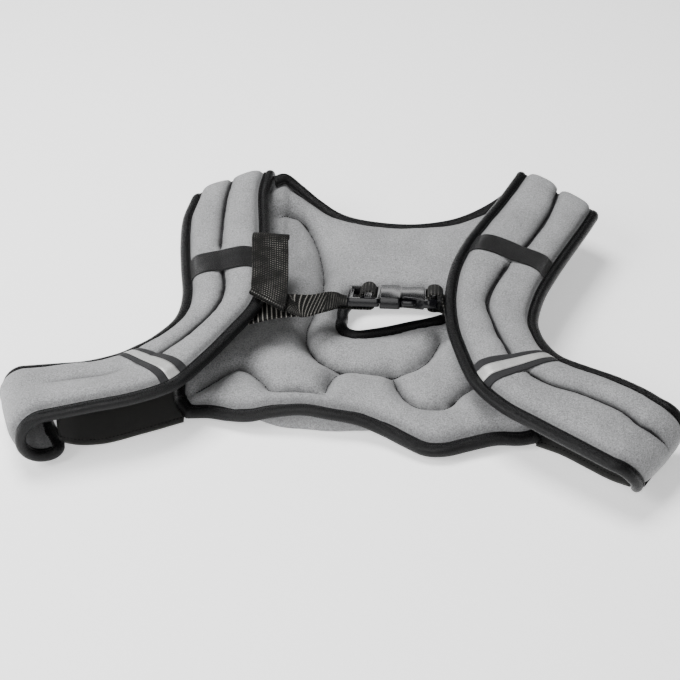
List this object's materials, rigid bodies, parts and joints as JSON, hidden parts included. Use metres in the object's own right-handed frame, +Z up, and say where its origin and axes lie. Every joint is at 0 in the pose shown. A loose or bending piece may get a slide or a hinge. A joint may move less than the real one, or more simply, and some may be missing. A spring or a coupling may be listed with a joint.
{
  "type": "weighted vest",
  "caption": "Padded weighted training vest on its back: shoulder straps folded over the front, rolled wings with side belts, a chest buckle and a bound hole in the back panel.",
  "frame": {"origin": "middle of the bottom of the whole vest's bounding box, on the surface that it lies on", "axes": "+Z up from the surface, +Y from the hem to the neck, +X to the wearer's left; left and right in the node names are as seen from above with the hem nearest, so left is toward -X"},
  "size_m": [0.5442, 0.4284, 0.0708],
  "materials": {
    "neoprene": "matte light-grey knit-faced neoprene",
    "tape": "matte black woven binding",
    "label": "matte black, plain",
    "band": "matte dark-grey woven backing",
    "reflective": "silver-grey retroreflective, satin",
    "belt": "matte black woven elastic",
    "webbing": "matte black twill-woven webbing",
    "buckle": "glossy black moulded plastic"
  },
  "bodies": {
    "root": {"back_panel": "neoprene", "neck_tape": "tape", "left_armhole_tape": "tape", "right_armhole_tape": "tape", "hem_tape": "tape", "hole_tape": "tape", "left_strap": "neoprene", "left_strap_inner_tape": "tape", "left_strap_outer_tape": "tape", "left_strap_end_tape": "tape", "left_strap_label": "label", "left_strap_reflector_base": "band", "left_strap_reflector": "reflective", "left_belt": "belt", "right_strap": "neoprene", "right_strap_inner_tape": "tape", "right_strap_outer_tape": "tape", "right_strap_end_tape": "tape", "right_strap_label": "label", "right_strap_reflector_base": "band", "right_strap_reflector": "reflective", "right_belt": "belt", "chest_webbing": "webbing", "socket_webbing": "webbing", "buckle_plug": "buckle", "buckle_socket": "buckle"}
  },
  "joints": []
}
